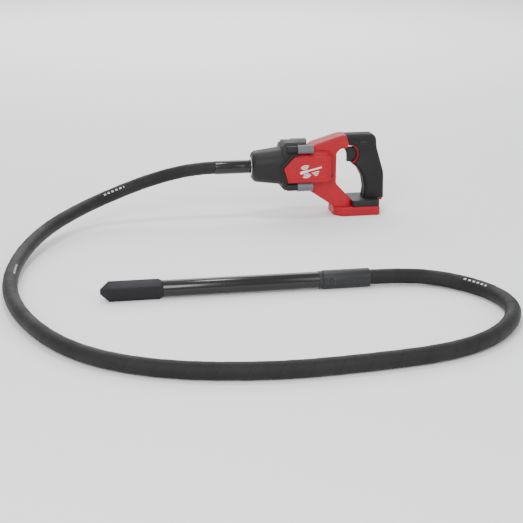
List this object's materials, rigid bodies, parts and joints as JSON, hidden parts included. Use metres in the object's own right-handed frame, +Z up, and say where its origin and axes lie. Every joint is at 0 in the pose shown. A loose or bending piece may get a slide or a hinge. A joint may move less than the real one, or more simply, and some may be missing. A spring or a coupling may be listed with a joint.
{
  "type": "concrete vibrator",
  "caption": "Battery concrete vibrator with a D-handle motor body, a long flexible hose shaft and a square-tipped poker head.",
  "frame": {"origin": "centre of the underside of the battery foot, on the surface the tool stands on", "axes": "-X towards the nose, along the motor axis; +Z up; the left side of the tool faces -Y"},
  "size_m": [0.7984, 0.8888, 0.1635],
  "materials": {
    "housing_red": "moulded satin red",
    "trim_red": "moulded red trim",
    "grip_black": "fine-textured black rubber cover",
    "black_plastic": "moulded black plastic",
    "nose_charcoal": "satin charcoal casting",
    "clamp_grey": "satin grey",
    "plate_red": null,
    "gloss_black": "gloss black over steel",
    "head_satin": "satin charcoal steel",
    "coupler_satin": "satin dark grey steel",
    "hose_rubber": "fabric-wrapped rubber",
    "steel": "turned steel",
    "bright_ring": "bright ring",
    "screw_steel": "blackened steel",
    "lamination": "stacked steel sheets",
    "copper": "enamelled copper wire",
    "aluminium": "cast aluminium",
    "board_green": "circuit board",
    "nylon_white": "moulded nylon",
    "wire": "insulated wire",
    "seal": "oil seal rubber",
    "contact_brass": "plated contact"
  },
  "bodies": {
    "root": {"housing_left": "housing_red", "housing_right": "housing_red", "grip_left": "grip_black", "grip_right": "grip_black", "trigger_trim": "trim_red", "foot_bumper": "black_plastic", "nameplate_left": "plate_red", "nameplate_right": "plate_red", "nose_housing": "nose_charcoal", "nose_ring": "bright_ring", "clamp_sleeves": "clamp_grey", "nose_screws": "screw_steel", "housing_screws": "screw_steel", "adapter_sleeve": "gloss_black", "hose": "hose_rubber", "flex_core": "steel", "nose_bearing": "steel", "shaft_seal": "seal", "bearing_plate": "aluminium", "front_motor_bearing": "steel", "rear_motor_bearing": "steel", "stator_core": "lamination", "stator_carrier": "aluminium", "stator_windings": "copper", "sensor_board": "board_green", "fan_baffle": "black_plastic", "switch_module": "black_plastic", "switch_bracket": "nylon_white", "trigger_spring": "steel", "lock_spring": "steel", "control_board": "board_green", "controller_tray": "aluminium", "terminal_block": "black_plastic", "battery_contacts": "contact_brass", "motor_leads": "wire", "switch_leads": "wire", "head_coupler": "coupler_satin", "head_collar": "coupler_satin", "head_tube": "gloss_black", "head_tip": "head_satin", "head_front_bearing": "steel", "head_rear_bearing": "steel", "tube_bearing": "steel", "head_seal": "seal"},
    "motor_spin": {"rotor": "lamination", "rotor_shaft": "steel", "cooling_fan": "black_plastic", "output_spindle": "steel", "core_drive_fitting": "steel"},
    "head_spin": {"extension_shaft": "steel", "eccentric_weight": "steel", "core_head_fitting": "steel"},
    "trigger": {"trigger": "black_plastic"},
    "lock_button": {"lock_button": "black_plastic"}
  },
  "joints": [
    {"name": "motor_spin", "type": "hinge", "parent": "root", "child": "motor_spin", "pos_m": [-0.1, 0, 0.103], "axis": [-1, 0, 0], "continuous": true},
    {"name": "head_spin", "type": "hinge", "parent": "root", "child": "head_spin", "pos_m": [-0.3, -0.472, 0.0155], "axis": [-1, 0, 0], "continuous": true},
    {"name": "trigger_pull", "type": "slide", "parent": "root", "child": "trigger", "axis": [1, 0, 0], "range_m": [0, 0.006], "stiffness_N_per_m": 900, "springref_m": -0.004, "deforming": ["trigger_spring"]},
    {"name": "lock_push", "type": "slide", "parent": "root", "child": "lock_button", "axis": [0, 1, 0], "range_m": [0, 0.003], "stiffness_N_per_m": 600, "springref_m": -0.002, "deforming": ["lock_spring"]}
  ],
  "couplings": [
    {"joint": "head_spin", "follows": "motor_spin", "ratio": 1}
  ]
}
